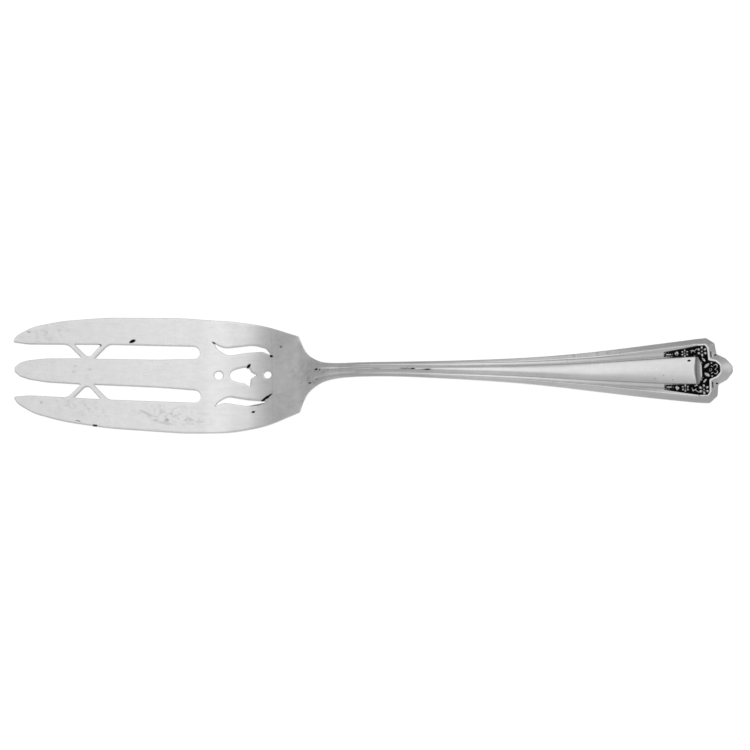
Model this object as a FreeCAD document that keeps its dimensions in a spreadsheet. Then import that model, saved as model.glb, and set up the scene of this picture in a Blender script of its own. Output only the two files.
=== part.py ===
import FreeCAD, Part
import math
import os
import re
import Sketcher

# One-piece cake serving fork in polished silver-coloured metal, stamped and pressed from one blank.
# X runs from the tine tips (-X) to the handle end (+X), +Z is up and Z = 0 is what it lies on.
# Along X, sizes named *_reach are measured from the tine tips, *_ahead and *_behind from the square
# shoulders at the back of the blade, and *_setback from the handle end.
# Sizes named *_out, *_half and *_share go outwards from the centre line, *_rise and *_lift up from Z = 0.
# Lengths are in millimetres and angles in degrees.

SIZES = {
    # Whole fork, seen from the side
    "overall_length": 228.6,
    "blade_length": 90.9,
    "blade_thickness": 1.5,
    "tip_rise": 18.6,
    "tine_bend_radius": 36,
    "flat_length": 13.2,
    "heel_bend_ahead": 12.6,
    "heel_bend_radius": 30,
    "throat_bend_behind": 1.6,
    "throat_bend_rise": 3.12,
    "throat_bend_radius": 12,
    "neck_behind": 6.5,
    "neck_rise": 5.8,
    "neck_thickness": 2.2,
    # Outline of the blade, from the tips to the neck
    "tip_out": 8.45,
    "tip_shoulder_reach": 1.35,
    "tip_shoulder_out": 10.95,
    "tip_shoulder_radius": 4.5,
    "flare_reach": 6.6,
    "flare_out": 13.95,
    "flare_radius": 16,
    "side_reach": 16,
    "side_out": 16.2,
    "side_radius": 60,
    "broad_reach": 30,
    "broad_out": 17.8,
    "broad_radius": 90,
    "widest_ahead": 36.9,
    "widest_out": 18.6,
    "widest_radius": 110,
    "hip_ahead": 20.9,
    "hip_out": 17.9,
    "hip_radius": 60,
    "heel_side_ahead": 10.7,
    "heel_side_out": 16.2,
    "heel_side_radius": 42,
    "heel_corner_out": 12.2,
    "heel_corner_radius": 0.9,
    "throat_behind": 2.3,
    "throat_out": 6.6,
    "throat_radius": 6,
    "neck_out": 1.6,
    # Gaps between the tines, a little askew, with a tie bar of two struts across each
    "gap_skew": 0.5,
    "gap_mouth_out": 9.25,
    "gap_front_reach": 5,
    "gap_front_out": 8.27,
    "gap_front_radius": 20,
    "gap_middle_out": 8.9,
    "gap_end_ahead": 31.5,
    "gap_end_out": 9.1,
    "gap_end_radius": 1.9,
    "middle_nose_half": 1.5,
    "middle_nose_radius": 1.3,
    "middle_tip_reach": 3.4,
    "middle_tip_half": 3.05,
    "middle_tip_radius": 5,
    "middle_front_reach": 11,
    "middle_front_half": 3.92,
    "middle_front_radius": 20,
    "middle_foot_half": 4.15,
    "middle_back_share": 0.53,
    "middle_back_half": 4.45,
    "middle_back_radius": 60,
    "middle_end_half": 5.1,
    "tie_reach": 23.9,
    "tie_foot_half": 2.4,
    "tie_spread_half": 6.9,
    "tie_radius": 3,
    "tie_eye_half": 3.95,
    "tie_eye_out": 4.15,
    "tie_eye_radius": 1.5,
    # Piercings in the flat middle of the blade
    "piercing_shift": 0.4,
    "front_hole_ahead": 25.6,
    "front_hole_diameter": 2.8,
    "back_hole_ahead": 10.1,
    "back_hole_diameter": 2.6,
    "bell_crown_ahead": 22.1,
    "bell_crown_half": 1.2,
    "bell_crown_radius": 1,
    "bell_shoulder_ahead": 20.1,
    "bell_shoulder_half": 2,
    "bell_waist_ahead": 17.3,
    "bell_waist_half": 2.5,
    "bell_side_radius": 2,
    "bell_lip_ahead": 16,
    "bell_lip_half": 3.55,
    "bell_mouth_ahead": 15.75,
    "bell_mouth_half": 0.65,
    "bell_mouth_radius": 1.4,
    "bell_point_ahead": 13.6,
    "scroll_half_width": 0.95,
    "scroll_radius": 3,
    "scroll_tip_ahead": 27.2,
    "scroll_tip_out": 10.2,
    "scroll_dip_ahead": 22.4,
    "scroll_dip_out": 7.45,
    "scroll_crest_ahead": 13.3,
    "scroll_crest_out": 9,
    "scroll_tail_ahead": 8.9,
    "scroll_tail_out": 6.2,
    # Stations of the stem and handle: place, half width and height of the underside.
    # The places of the middle three are shares of the way from the arch to the palm.
    "root_behind": 1.4,
    "root_half": 7.2,
    "root_thickness": 1.35,
    "throat_mid_behind": 4.3,
    "throat_mid_half": 4.75,
    "throat_mid_lift": 4.25,
    "throat_mid_thickness": 2.2,
    "throat_end_behind": 7.7,
    "throat_end_half": 3,
    "throat_end_lift": 5.95,
    "throat_end_thickness": 2.9,
    "stem_front_behind": 12.3,
    "stem_front_half": 2.45,
    "stem_front_lift": 7.95,
    "crest_behind": 18.1,
    "crest_lift": 9.4,
    "arch_behind": 26.1,
    "arch_lift": 9.7,
    "waist_share": 0.268,
    "waist_lift": 7.5,
    "waist_half": 2.82,
    "swell_share": 0.521,
    "swell_lift": 4.85,
    "swell_half": 3.6,
    "taper_share": 0.767,
    "taper_lift": 2.3,
    "taper_half": 4.85,
    "palm_setback": 42.5,
    "palm_lift": 0.45,
    "palm_half": 6.6,
    "rest_setback": 26.5,
    "rest_half": 8.55,
    "panel_setback": 11,
    "panel_lift": 0.25,
    # Section of the stem, and of the handle at its wide end
    "stem_half": 2.33,
    "stem_thickness": 3.2,
    "stem_underside_bow": 1.1,
    "stem_side_height": 2,
    "stem_shoulder_drop": 0.75,
    "handle_half": 10.35,
    "handle_thickness": 2.5,
    "handle_underside_bow": 0.3,
    "handle_side_height": 1.05,
    "handle_ridge_drop": 0.45,
    "border_width": 1.95,
    "border_share": 0.3,
    "groove_share": 0.66,
    "groove_depth": 0.45,
    "band_share": 0.46,
    "band_bow": 0.2,
    "panel_share": 0.42,
    # Pointed end of the handle: its outline, then the ridge inside it
    "corner_setback": 8.2,
    "corner_flare": 0.2,
    "corner_radius": 1,
    "shoulder_setback": 5.7,
    "shoulder_out": 8.2,
    "shoulder_radius": 0.5,
    "notch_setback": 5.1,
    "notch_out": 4.95,
    "notch_radius": 1.2,
    "lobe_setback": 1.7,
    "lobe_out": 3.55,
    "lobe_radius": 2.2,
    "lobe_tip_out": 1.1,
    "lobe_tip_radius": 1.4,
    "ridge_corner_setback": 8.1,
    "ridge_shoulder_setback": 7.4,
    "ridge_shoulder_out": 7.2,
    "ridge_notch_setback": 7.2,
    "ridge_notch_out": 4,
    "ridge_lobe_setback": 4.8,
    "ridge_lobe_out": 3.2,
    "ridge_tip_setback": 3.5,
    "ridge_tip_out": 1.5,
    "ridge_radius": 0.5,
    "end_tilt": 1,
    # Sunk ornament at the end of the handle
    "sunk_depth": 0.55,
    "rim_width": 0.4,
    "arm_setback": 21.9,
    "arm_start_out": 6.15,
    "panel_end_run": 1.1,
    "panel_end_bow": 0.4,
    "panel_step": 0.3,
    "shell_run": 1.1,
    "shell_out": 2,
    "shell_radius": 3,
    "ornament_height": 0.45,
    "bar_setback": 20.4,
    "bar_out": 5.25,
    "bar_length": 1.7,
    "bar_width": 0.8,
    "pearl_diameter": 1.15,
    "arm_pearl_setback": 17.7,
    "arm_pearl_out": 5.6,
    "arm_rosette_setback": 15.2,
    "arm_rosette_out": 5.65,
    "arm_rosette_diameter": 2.4,
    "arm_leaf_setback": 12.5,
    "arm_leaf_out": 6.05,
    "arm_leaf_turn": 20,
    "corner_rosette_setback": 9.4,
    "corner_rosette_out": 6.1,
    "corner_rosette_diameter": 3.2,
    "side_leaf_setback": 9.1,
    "side_leaf_out": 3.4,
    "side_leaf_turn": -50,
    "inner_leaf_setback": 8.4,
    "inner_leaf_out": 1.3,
    "inner_leaf_turn": 35,
    "lobe_pearl_setback": 6.4,
    "lobe_pearl_out": 2,
    "lobe_rosette_setback": 5.3,
    "lobe_rosette_diameter": 2.5,
    "leaf_length": 2,
    "leaf_width": 1,
}
RIDGE_HEIGHT = "handle_thickness - handle_ridge_drop"
PETALS = 6
FINE = 0.00001

doc = FreeCAD.newDocument("cake_fork")
sheet = doc.addObject("Spreadsheet::Sheet", "Dimensions")
for row, (alias, size) in enumerate(SIZES.items(), 1):
    sheet.set(f"A{row}", alias)
    sheet.set(f"B{row}", str(size))
    sheet.setAlias(f"B{row}", alias)
doc.recompute()

body = doc.addObject("PartDesign::Body", "Fork")
body.Label = "cake_fork"


def formula(text):
    """The same formula with each size named as a cell of the sheet."""
    return re.sub(r"\b[a-z]+(_[a-z]+)+\b", lambda name: "Dimensions." + name.group(), str(text))


def value(text):
    """What a formula in the sheet's sizes comes to."""
    return float(sheet.evalExpression(formula(text)))


def bind(thing, path, text):
    thing.setExpression(path, formula(text))


def from_tips(text):
    """X of a distance measured from the tine tips."""
    return f"({text}) - overall_length / 2"


def ahead(text):
    """X of a distance ahead of the blade's square shoulders, towards the tips."""
    return from_tips(f"blade_length - ({text})")


def behind(text):
    """X of a distance behind the blade's square shoulders, towards the handle."""
    return from_tips(f"blade_length + {text}")


def from_end(text):
    """X of a distance measured back from the handle end."""
    return f"overall_length / 2 - ({text})"


def new_sketch(name, plane, offset=("0", "0", "0"), turn=None, axis=(0, 0, 1)):
    """An empty sketch on one of the body's own planes, moved by three formulas and turned about an axis."""
    sketch = body.newObject("Sketcher::SketchObject", name)
    origin_plane = [item for item in body.Origin.OriginFeatures if item.Role == plane][0]
    sketch.AttachmentSupport = [(origin_plane, "")]
    sketch.MapMode = "FlatFace"
    if turn:
        rotation = FreeCAD.Rotation(FreeCAD.Vector(*axis), value(turn))
        sketch.AttachmentOffset = FreeCAD.Placement(FreeCAD.Vector(), rotation)
        bind(sketch, "AttachmentOffset.Rotation.Angle", turn)
    for letter, text in zip("xyz", offset):
        if text != "0":
            bind(sketch, f"AttachmentOffset.Base.{letter}", text)
    return sketch


def place(sketch, item, end, x, y):
    """Ties a point of the sketch to two formulas."""
    for kind, text in (("DistanceX", x), ("DistanceY", y)):
        number = sketch.addConstraint(Sketcher.Constraint(kind, -1, 1, item, end, value(text)))
        bind(sketch, f"Constraints[{number}]", text)


def set_radius(sketch, item, text):
    number = sketch.addConstraint(Sketcher.Constraint("Radius", item, value(text)))
    bind(sketch, f"Constraints[{number}]", text)


def arc_between(centre, start, end):
    """The shorter arc about a centre, and which of its ends is at start."""
    first, last = start - centre, end - centre
    left_turn = first.cross(last).z > 0
    if not left_turn:
        first, last = last, first
    whole = Part.Circle(centre, FreeCAD.Vector(0, 0, 1), first.Length)
    arc = Part.ArcOfCircle(whole, math.atan2(first.y, first.x), math.atan2(last.y, last.x))
    return arc, (1, 2) if left_turn else (2, 1)


def rounded_outline(sketch, corners):
    """A closed outline of straight runs through corners of (x, y, radius), radius 0 where one is sharp."""
    count = len(corners)
    spots = [FreeCAD.Vector(value(x), value(y), 0) for x, y, radius in corners]
    before, after, centres = [], [], []
    for i, (x, y, radius) in enumerate(corners):
        back = (spots[i - 1] - spots[i]).normalize()
        ahead = (spots[(i + 1) % count] - spots[i]).normalize()
        half_angle = back.getAngle(ahead) / 2
        size = value(radius)
        run = size / math.tan(half_angle)
        before.append(spots[i] + back * run)
        after.append(spots[i] + ahead * run)
        centres.append(spots[i] + (back + ahead).normalize() * (size / math.sin(half_angle)))
    first = sketch.GeometryCount
    for i in range(count):
        sketch.addGeometry(Part.LineSegment(after[i], before[(i + 1) % count]))
    for i, (x, y, radius) in enumerate(corners):
        arriving = first + (i - 1) % count
        leaving = first + i
        if not value(radius):
            sketch.addConstraint(Sketcher.Constraint("Coincident", arriving, 2, leaving, 1))
            place(sketch, leaving, 1, x, y)
            continue
        shape, ends = arc_between(centres[i], before[i], after[i])
        arc = sketch.addGeometry(shape)
        corner = sketch.addGeometry(Part.Point(spots[i]), True)
        sketch.addConstraint(Sketcher.Constraint("Tangent", arriving, 2, arc, ends[0]))
        sketch.addConstraint(Sketcher.Constraint("Tangent", leaving, 1, arc, ends[1]))
        set_radius(sketch, arc, radius)
        sketch.addConstraint(Sketcher.Constraint("PointOnObject", corner, 1, arriving))
        sketch.addConstraint(Sketcher.Constraint("PointOnObject", corner, 1, leaving))
        place(sketch, corner, 1, x, y)


def bowed_outline(sketch, points):
    """A closed outline through points of (x, y, bow): bow is how far the edge to the next point bulges out."""
    count = len(points)
    spots = [FreeCAD.Vector(value(x), value(y), 0) for x, y, bow in points]
    first = sketch.GeometryCount
    starts = []
    for i, (x, y, bow) in enumerate(points):
        start, end = spots[i], spots[(i + 1) % count]
        if bow == "0":
            sketch.addGeometry(Part.LineSegment(start, end))
            starts.append((1, 2))
            continue
        chord = end - start
        outwards = FreeCAD.Vector(chord.y, -chord.x, 0).normalize()
        depth = value(bow)
        size = (chord.Length**2 / 4 + depth**2) / (2 * depth)
        centre = (start + end) * 0.5 + outwards * (depth - size)
        shape, ends = arc_between(centre, start, end)
        sketch.addGeometry(shape)
        starts.append(ends)
    for i, (x, y, bow) in enumerate(points):
        follower = (i + 1) % count
        pair = (first + i, starts[i][1], first + follower, starts[follower][0])
        sketch.addConstraint(Sketcher.Constraint("Coincident", *pair))
        place(sketch, first + i, starts[i][0], x, y)
        if bow != "0":
            next_x, next_y = points[follower][:2]
            chord = f"((({next_x}) - ({x}))^2 + (({next_y}) - ({y}))^2)"
            set_radius(sketch, first + i, f"({chord} / 4 + ({bow})^2) / (2 * ({bow}))")


def mirrored(corners, middle=()):
    """Corners on one side of the centre line, any on it, and the same ones back on the other side."""
    return corners + list(middle) + [(x, f"-({y})", size) for x, y, size in reversed(corners)]


def circle(sketch, x, y, diameter):
    centre = FreeCAD.Vector(value(x), value(y), 0)
    item = sketch.addGeometry(Part.Circle(centre, FreeCAD.Vector(0, 0, 1), value(diameter) / 2))
    place(sketch, item, 3, x, y)
    set_radius(sketch, item, f"({diameter}) / 2")


def cut_through(name, sketch):
    """Cuts the sketch's areas through everything, both ways from its plane."""
    pocket = body.newObject("PartDesign::Pocket", name)
    pocket.Profile = sketch
    pocket.Type = "ThroughAll"
    pocket.SideType = "Symmetric"
    return pocket


def mirror_across(name, feature, sketch):
    """Repeats a feature on the other side of its sketch's own horizontal axis."""
    twin = body.newObject("PartDesign::Mirrored", name)
    twin.Originals = [feature]
    twin.MirrorPlane = (sketch, ["H_Axis"])
    twin.Refine = False
    body.Tip = twin


def make_blade():
    """The bent plate of the tines, the flat middle, the rising heel and the throat, with square sides."""
    sketch = new_sketch("SideProfile", "XZ_Plane")
    tips = from_tips("-blade_thickness")
    bend = ahead("heel_bend_ahead + flat_length")
    heel = ahead("heel_bend_ahead")
    throat = behind("throat_bend_behind")
    neck = behind("neck_behind")
    rounded_outline(sketch, [
        (tips, "tip_rise", "0"),
        (bend, "0", "tine_bend_radius"),
        (heel, "0", "heel_bend_radius"),
        (throat, "throat_bend_rise", "throat_bend_radius"),
        (neck, "neck_rise", "0"),
        (neck, "neck_rise + neck_thickness", "0"),
        (throat, "throat_bend_rise + blade_thickness", "throat_bend_radius - blade_thickness"),
        (heel, "blade_thickness", "heel_bend_radius - blade_thickness"),
        (bend, "blade_thickness", "tine_bend_radius - blade_thickness"),
        (tips, "tip_rise + blade_thickness", "0"),
    ])
    plate = body.newObject("PartDesign::Pad", "Plate")
    plate.Profile = sketch
    plate.SideType = "Symmetric"
    bind(plate, "Length", "(widest_out + blade_thickness) * 2")


def trim_blade():
    """Cuts the plate to its spade outline, with square shoulders where it narrows to the stem."""
    sketch = new_sketch("BladeOutline", "XY_Plane")
    beyond = "blade_thickness * 2"
    waste = [
        (from_tips(f"-{beyond} * 2"), f"widest_out + {beyond}", "0"),
        (behind(f"neck_behind + {beyond}"), f"widest_out + {beyond}", "0"),
    ]
    rounded_outline(sketch, mirrored(waste))
    tip_slope = "(tip_shoulder_out - tip_out) / tip_shoulder_reach"
    rounded_outline(sketch, mirrored([
        (from_tips(f"-{beyond}"), f"tip_out - {beyond} * {tip_slope}", "0"),
        (from_tips("tip_shoulder_reach"), "tip_shoulder_out", "tip_shoulder_radius"),
        (from_tips("flare_reach"), "flare_out", "flare_radius"),
        (from_tips("side_reach"), "side_out", "side_radius"),
        (from_tips("broad_reach"), "broad_out", "broad_radius"),
        (ahead("widest_ahead"), "widest_out", "widest_radius"),
        (ahead("hip_ahead"), "hip_out", "hip_radius"),
        (ahead("heel_side_ahead"), "heel_side_out", "heel_side_radius"),
        (from_tips("blade_length"), "heel_corner_out", "heel_corner_radius"),
        (behind("throat_behind"), "throat_out", "throat_radius"),
        (behind("neck_behind + blade_thickness"), "neck_out", "0"),
    ]))
    cut_through("BladeTrim", sketch)


def pierce_gaps():
    """The two gaps between the tines, each in three openings round its wishbone tie bar."""
    sketch = new_sketch("TineGap", "XY_Plane", (from_tips("0"), "0", "0"), turn="gap_skew")
    beyond = "-blade_thickness * 2"
    front = "tie_reach - tie_spread_half"
    back = "tie_reach + tie_spread_half"
    end = "blade_length - gap_end_ahead"
    slope = f"(gap_middle_out - gap_front_out) / ({back} - gap_front_reach)"

    def tine_edge(reach):
        return f"gap_front_out + {slope} * ({reach} - gap_front_reach)"

    rounded_outline(sketch, [
        (beyond, "0", "0"),
        (beyond, "gap_mouth_out", "0"),
        ("gap_front_reach", "gap_front_out", "gap_front_radius"),
        (front, tine_edge(f"({front})"), "tie_radius"),
        ("tie_reach - tie_foot_half", "middle_foot_half", "0"),
        ("middle_front_reach", "middle_front_half", "middle_front_radius"),
        ("middle_tip_reach", "middle_tip_half", "middle_tip_radius"),
        ("0", "middle_nose_half", "middle_nose_radius"),
        ("0", "0", "0"),
    ])
    rounded_outline(sketch, [
        ("tie_reach - tie_eye_half", tine_edge("(tie_reach - tie_eye_half)"), "0"),
        ("tie_reach + tie_eye_half", tine_edge("(tie_reach + tie_eye_half)"), "0"),
        ("tie_reach", "tie_eye_out", "tie_eye_radius"),
    ])
    rounded_outline(sketch, [
        ("tie_reach + tie_foot_half", "middle_foot_half", "0"),
        (back, "gap_middle_out", "tie_radius"),
        (end, "gap_end_out", "gap_end_radius"),
        (end, "middle_end_half", "gap_end_radius"),
        (f"{back} + ({end} - ({back})) * middle_back_share", "middle_back_half", "middle_back_radius"),
    ])
    mirror_across("OtherTineGap", cut_through("TineGapCut", sketch), sketch)


def pierce_middle():
    """The two round holes, the bell between them and the curved slot on each side."""
    shifted = ("0", "piercing_shift", "0")
    centre = new_sketch("BellAndHoles", "XY_Plane", shifted)
    circle(centre, ahead("front_hole_ahead"), "0", "front_hole_diameter")
    circle(centre, ahead("back_hole_ahead"), "0", "back_hole_diameter")
    half = [
        (ahead("bell_crown_ahead"), "bell_crown_half", "bell_crown_radius"),
        (ahead("bell_shoulder_ahead"), "bell_shoulder_half", "bell_side_radius"),
        (ahead("bell_waist_ahead"), "bell_waist_half", "bell_side_radius"),
        (ahead("bell_lip_ahead"), "bell_lip_half", "0"),
        (ahead("bell_mouth_ahead"), "bell_mouth_half", "bell_mouth_radius"),
    ]
    rounded_outline(centre, mirrored(half, [(ahead("bell_point_ahead"), "0", "0")]))
    cut_through("BellAndHolesCut", centre)
    side = new_sketch("Scroll", "XY_Plane", shifted)
    wide = "scroll_half_width"
    dip = ahead("scroll_dip_ahead")
    crest = ahead("scroll_crest_ahead")
    rounded_outline(side, [
        (ahead("scroll_tip_ahead"), "scroll_tip_out", "0"),
        (f"{dip} - {wide}", f"scroll_dip_out + {wide}", "scroll_radius + scroll_half_width"),
        (f"{crest} - {wide} * 2", f"scroll_crest_out + {wide}", "scroll_radius + scroll_half_width"),
        (f"{crest} + {wide} * 3", "scroll_crest_out", "scroll_radius"),
        (ahead("scroll_tail_ahead"), "scroll_tail_out", "0"),
        (f"{crest} + {wide} * 1.5", f"scroll_crest_out - {wide}", "scroll_radius"),
        (f"{crest} - {wide} * 2", f"scroll_crest_out - {wide} * 1.2", "scroll_radius"),
        (f"{dip} + {wide}", f"scroll_dip_out - {wide}", "scroll_radius"),
        (ahead(f"scroll_tip_ahead - {wide} * 1.7"), "scroll_dip_out", "scroll_radius"),
    ])
    mirror_across("OtherScroll", cut_through("ScrollCut", side), side)


def section(name, x, half, lift, thickness, bow, side, drop, fade):
    """One cross-section: a bowed underside, low sides, a sloping border up to a ridge, then the mouldings."""
    sketch = new_sketch(name, "YZ_Plane", ("0", "0", x))
    ridge = f"{lift} + {thickness} - {drop}"
    sunk = f"{ridge} - groove_depth * {fade}"
    border = f"min(border_width; {half} * border_share)"
    right = [
        (half, f"{lift} + {bow}", "0"),
        (half, f"{lift} + {side}", "0"),
        (f"{half} - {border}", ridge, "0"),
        (f"{half} * groove_share", sunk, f"band_bow * {fade}"),
        (f"{half} * band_share", sunk, "0"),
        (f"{half} * panel_share", ridge, drop),
    ]
    left = [(f"-({y})", z, "0") for y, z, bulge in reversed(right)]
    left[1] = (left[1][0], left[1][1], f"band_bow * {fade}")
    left[-1] = (left[-1][0], left[-1][1], bow)
    bowed_outline(sketch, right + left)
    return sketch


def grown(stem_size, handle_size, half):
    """A size that goes from the stem's to the handle's as the section widens."""
    return f"({stem_size} + ({handle_size} - {stem_size}) * (({half}) - stem_half) / (handle_half - stem_half))"


def moulded_section(name, x, half, lift):
    return section(
        name, x, half, lift,
        grown("stem_thickness", "handle_thickness", half),
        grown("stem_underside_bow", "handle_underside_bow", half),
        grown("stem_side_height", "handle_side_height", half),
        grown("stem_shoulder_drop", "handle_ridge_drop", half),
        f"({half} / handle_half)",
    )


def throat_section(name, half, lift, thickness):
    """A plain section where the blade gathers into the stem."""
    sizes = (f"({thickness} * 0.3)", f"({thickness} * 0.65)", f"({thickness} * 0.2)")
    return section(name, behind(name.lower() + "_behind"), half, lift, thickness, *sizes, "0.1")


def make_handle():
    """Stem and handle as one smooth loft, with mouldings that fade out towards the stem."""
    root_slope = "throat_bend_rise / (throat_bend_behind + heel_bend_ahead)"
    root_lift = f"(root_behind + heel_bend_ahead) * {root_slope} + (blade_thickness - root_thickness) * 2"
    stations = [
        throat_section("Root", "root_half", f"({root_lift})", "root_thickness"),
        throat_section("Throat_mid", "throat_mid_half", "throat_mid_lift", "throat_mid_thickness"),
        throat_section("Throat_end", "throat_end_half", "throat_end_lift", "throat_end_thickness"),
    ]
    for name, half in (("stem_front", "stem_front_half"), ("crest", "stem_half"), ("arch", "stem_half")):
        stations.append(moulded_section(name.title(), behind(name + "_behind"), half, name + "_lift"))
    palm_run = "(overall_length - palm_setback - blade_length - arch_behind)"
    for name in ("waist", "swell", "taper"):
        x = behind(f"arch_behind + {palm_run} * {name}_share")
        stations.append(moulded_section(name.title(), x, name + "_half", name + "_lift"))
    stations.append(moulded_section("Palm", from_end("palm_setback"), "palm_half", "palm_lift"))
    stations.append(moulded_section("Rest", from_end("rest_setback"), "rest_half", "0"))
    stations.append(moulded_section("PanelEnd", from_end("panel_setback"), "handle_half", "panel_lift"))
    handle = body.newObject("PartDesign::AdditiveLoft", "Handle")
    handle.Profile = stations[0]
    handle.Sections = stations[1:]


def end_sketch(name, height):
    """A sketch over the handle's end, tilted with it, its X measured on from where the panel ends."""
    offset = (from_end("panel_setback"), "0", f"panel_lift + {height}")
    return new_sketch(name, "XY_Plane", offset, turn="-end_tilt", axis=(0, 1, 0))


def from_panel(setback):
    """X in an end sketch of a distance measured back from the handle end."""
    return f"panel_setback - ({setback})"


def make_end():
    """The pointed end: its plain side, then the border sloping up to the ridge that runs on round it."""
    start = "-border_width / 2"
    outline = mirrored([
        (start, "handle_half - border_width / 15", "0"),
        (from_panel("corner_setback"), "handle_half + corner_flare", "corner_radius"),
        (from_panel("shoulder_setback"), "shoulder_out", "shoulder_radius"),
        (from_panel("notch_setback"), "notch_out", "notch_radius"),
        (from_panel("lobe_setback"), "lobe_out", "lobe_radius"),
        (from_panel("0"), "lobe_tip_out", "lobe_tip_radius"),
    ])
    foot = end_sketch("EndOutline", "0")
    rounded_outline(foot, outline)
    low = end_sketch("BorderFoot", "handle_side_height")
    rounded_outline(low, outline)
    high = end_sketch("RidgeLine", RIDGE_HEIGHT)
    rounded_outline(high, mirrored([
        (start, "handle_half - border_width", "0"),
        (from_panel("ridge_corner_setback"), "handle_half - border_width", "ridge_radius"),
        (from_panel("ridge_shoulder_setback"), "ridge_shoulder_out", "ridge_radius"),
        (from_panel("ridge_notch_setback"), "ridge_notch_out", "ridge_radius"),
        (from_panel("ridge_lobe_setback"), "ridge_lobe_out", "ridge_radius"),
        (from_panel("ridge_tip_setback"), "ridge_tip_out", "ridge_radius"),
    ]))
    end = body.newObject("PartDesign::AdditiveLoft", "PointedEnd")
    end.Profile = foot
    end.Sections = [low, high]
    end.Ruled = True
    end.Refine = False
    end.FuzzyTolerance = FINE


def sink_ground():
    """The sunk ground of the ornament: an arm beside the panel on each side, joined at the end."""
    sketch = end_sketch("SunkGround", RIDGE_HEIGHT)
    inner = "handle_half * panel_share"
    rim = "handle_half - border_width - rim_width"
    rounded_outline(sketch, mirrored([
        (from_panel("panel_setback - shell_run"), "shell_out", "shell_radius"),
        (from_panel("panel_setback"), inner, "ridge_radius"),
        (from_panel("arm_setback"), inner, "0"),
        (from_panel("arm_setback"), "arm_start_out", "0"),
        (from_panel("panel_setback"), rim, "border_width"),
        (from_panel("ridge_corner_setback + rim_width"), rim, "ridge_radius"),
        (from_panel("ridge_notch_setback + rim_width"), "ridge_notch_out - rim_width", "ridge_radius"),
        (from_panel("ridge_lobe_setback + rim_width"), "ridge_lobe_out - rim_width", "ridge_radius"),
        (from_panel("ridge_tip_setback + rim_width"), "ridge_tip_out - rim_width / 2", "ridge_radius"),
    ]))
    ground = body.newObject("PartDesign::Pocket", "SunkGroundCut")
    ground.Profile = sketch
    ground.Refine = False
    ground.FuzzyTolerance = FINE
    ground.SideType = "Two sides"
    bind(ground, "Length", "sunk_depth")
    bind(ground, "Length2", "handle_ridge_drop")


def step_panel():
    """The panel's hollow end, and the low shell between it and the sunk ground."""
    sketch = end_sketch("PanelStep", RIDGE_HEIGHT)
    inner = "handle_half * panel_share"
    start = from_panel("panel_setback + panel_end_run")
    end = from_panel("panel_setback - shell_run - rim_width")
    bowed_outline(sketch, [
        (end, f"-{inner}", "0"),
        (end, inner, "0"),
        (start, inner, "panel_end_bow"),
        (start, f"-{inner}", "0"),
    ])
    step = body.newObject("PartDesign::Pocket", "PanelStepCut")
    step.Profile = sketch
    step.Refine = False
    step.FuzzyTolerance = FINE
    step.SideType = "Two sides"
    bind(step, "Length", "panel_step")
    bind(step, "Length2", "handle_ridge_drop * 2")


def rosette(sketch, setback, out, diameter):
    """A round centre in a ring of pointed petals that all but touch."""
    x = from_panel(setback)
    circle(sketch, x, out, f"{diameter} * 0.26")
    for i in range(PETALS):
        petal = []
        for share, swing in ((0.17, 0), (0.33, 24), (0.5, 0), (0.33, -24)):
            angle = f"{i} * 360 / {PETALS} + {swing}"
            reach = f"{diameter} * {share}"
            petal.append((f"{x} + {reach} * cos({angle})", f"{out} + {reach} * sin({angle})", "0"))
        rounded_outline(sketch, petal)


def leaf(sketch, setback, out, turn):
    """A pointed leaf, its length turned from the fork's own by some degrees."""
    x = from_panel(setback)
    corners = []
    for along, across, radius in (("1", "0", "0"), ("0", "1", "leaf_width / 2")):
        for sign in ("1", "-1"):
            long_way = f"{sign} * {along} * leaf_length / 2"
            wide_way = f"{sign} * {across} * leaf_width * 0.7"
            corners.append((
                f"{x} + {long_way} * cos({turn}) - {wide_way} * sin({turn})",
                f"{out} + {long_way} * sin({turn}) + {wide_way} * cos({turn})",
                radius,
            ))
    tip, tail, upper, lower = corners
    rounded_outline(sketch, [tip, upper, tail, lower])


def raise_ornament():
    """Bars, pearls, rosettes and leaves standing on the sunk ground, the same on both sides."""
    rooted = "sunk_depth / 4"
    ground = f"{RIDGE_HEIGHT} - sunk_depth - {rooted}"
    side = end_sketch("SideOrnament", ground)
    half_bar = "bar_width / 2 * 0.99"
    bar_left = from_panel("bar_setback + bar_length / 2")
    bar_right = from_panel("bar_setback - bar_length / 2")
    rounded_outline(side, [
        (bar_left, "bar_out - bar_width / 2", half_bar),
        (bar_right, "bar_out - bar_width / 2", half_bar),
        (bar_right, "bar_out + bar_width / 2", half_bar),
        (bar_left, "bar_out + bar_width / 2", half_bar),
    ])
    circle(side, from_panel("arm_pearl_setback"), "arm_pearl_out", "pearl_diameter")
    circle(side, from_panel("lobe_pearl_setback"), "lobe_pearl_out", "pearl_diameter")
    rosette(side, "arm_rosette_setback", "arm_rosette_out", "arm_rosette_diameter")
    rosette(side, "corner_rosette_setback", "corner_rosette_out", "corner_rosette_diameter")
    leaf(side, "arm_leaf_setback", "arm_leaf_out", "arm_leaf_turn")
    leaf(side, "side_leaf_setback", "side_leaf_out", "side_leaf_turn")
    leaf(side, "inner_leaf_setback", "inner_leaf_out", "inner_leaf_turn")
    relief = body.newObject("PartDesign::Pad", "SideRelief")
    relief.Profile = side
    relief.Refine = False
    relief.FuzzyTolerance = FINE
    bind(relief, "Length", f"ornament_height + {rooted}")
    mirror_across("OtherSideRelief", relief, side)
    middle = end_sketch("LobeRosette", ground)
    rosette(middle, "lobe_rosette_setback", "0", "lobe_rosette_diameter")
    lobe = body.newObject("PartDesign::Pad", "LobeRelief")
    lobe.Profile = middle
    lobe.Refine = False
    lobe.FuzzyTolerance = FINE
    bind(lobe, "Length", f"ornament_height + {rooted}")


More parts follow.
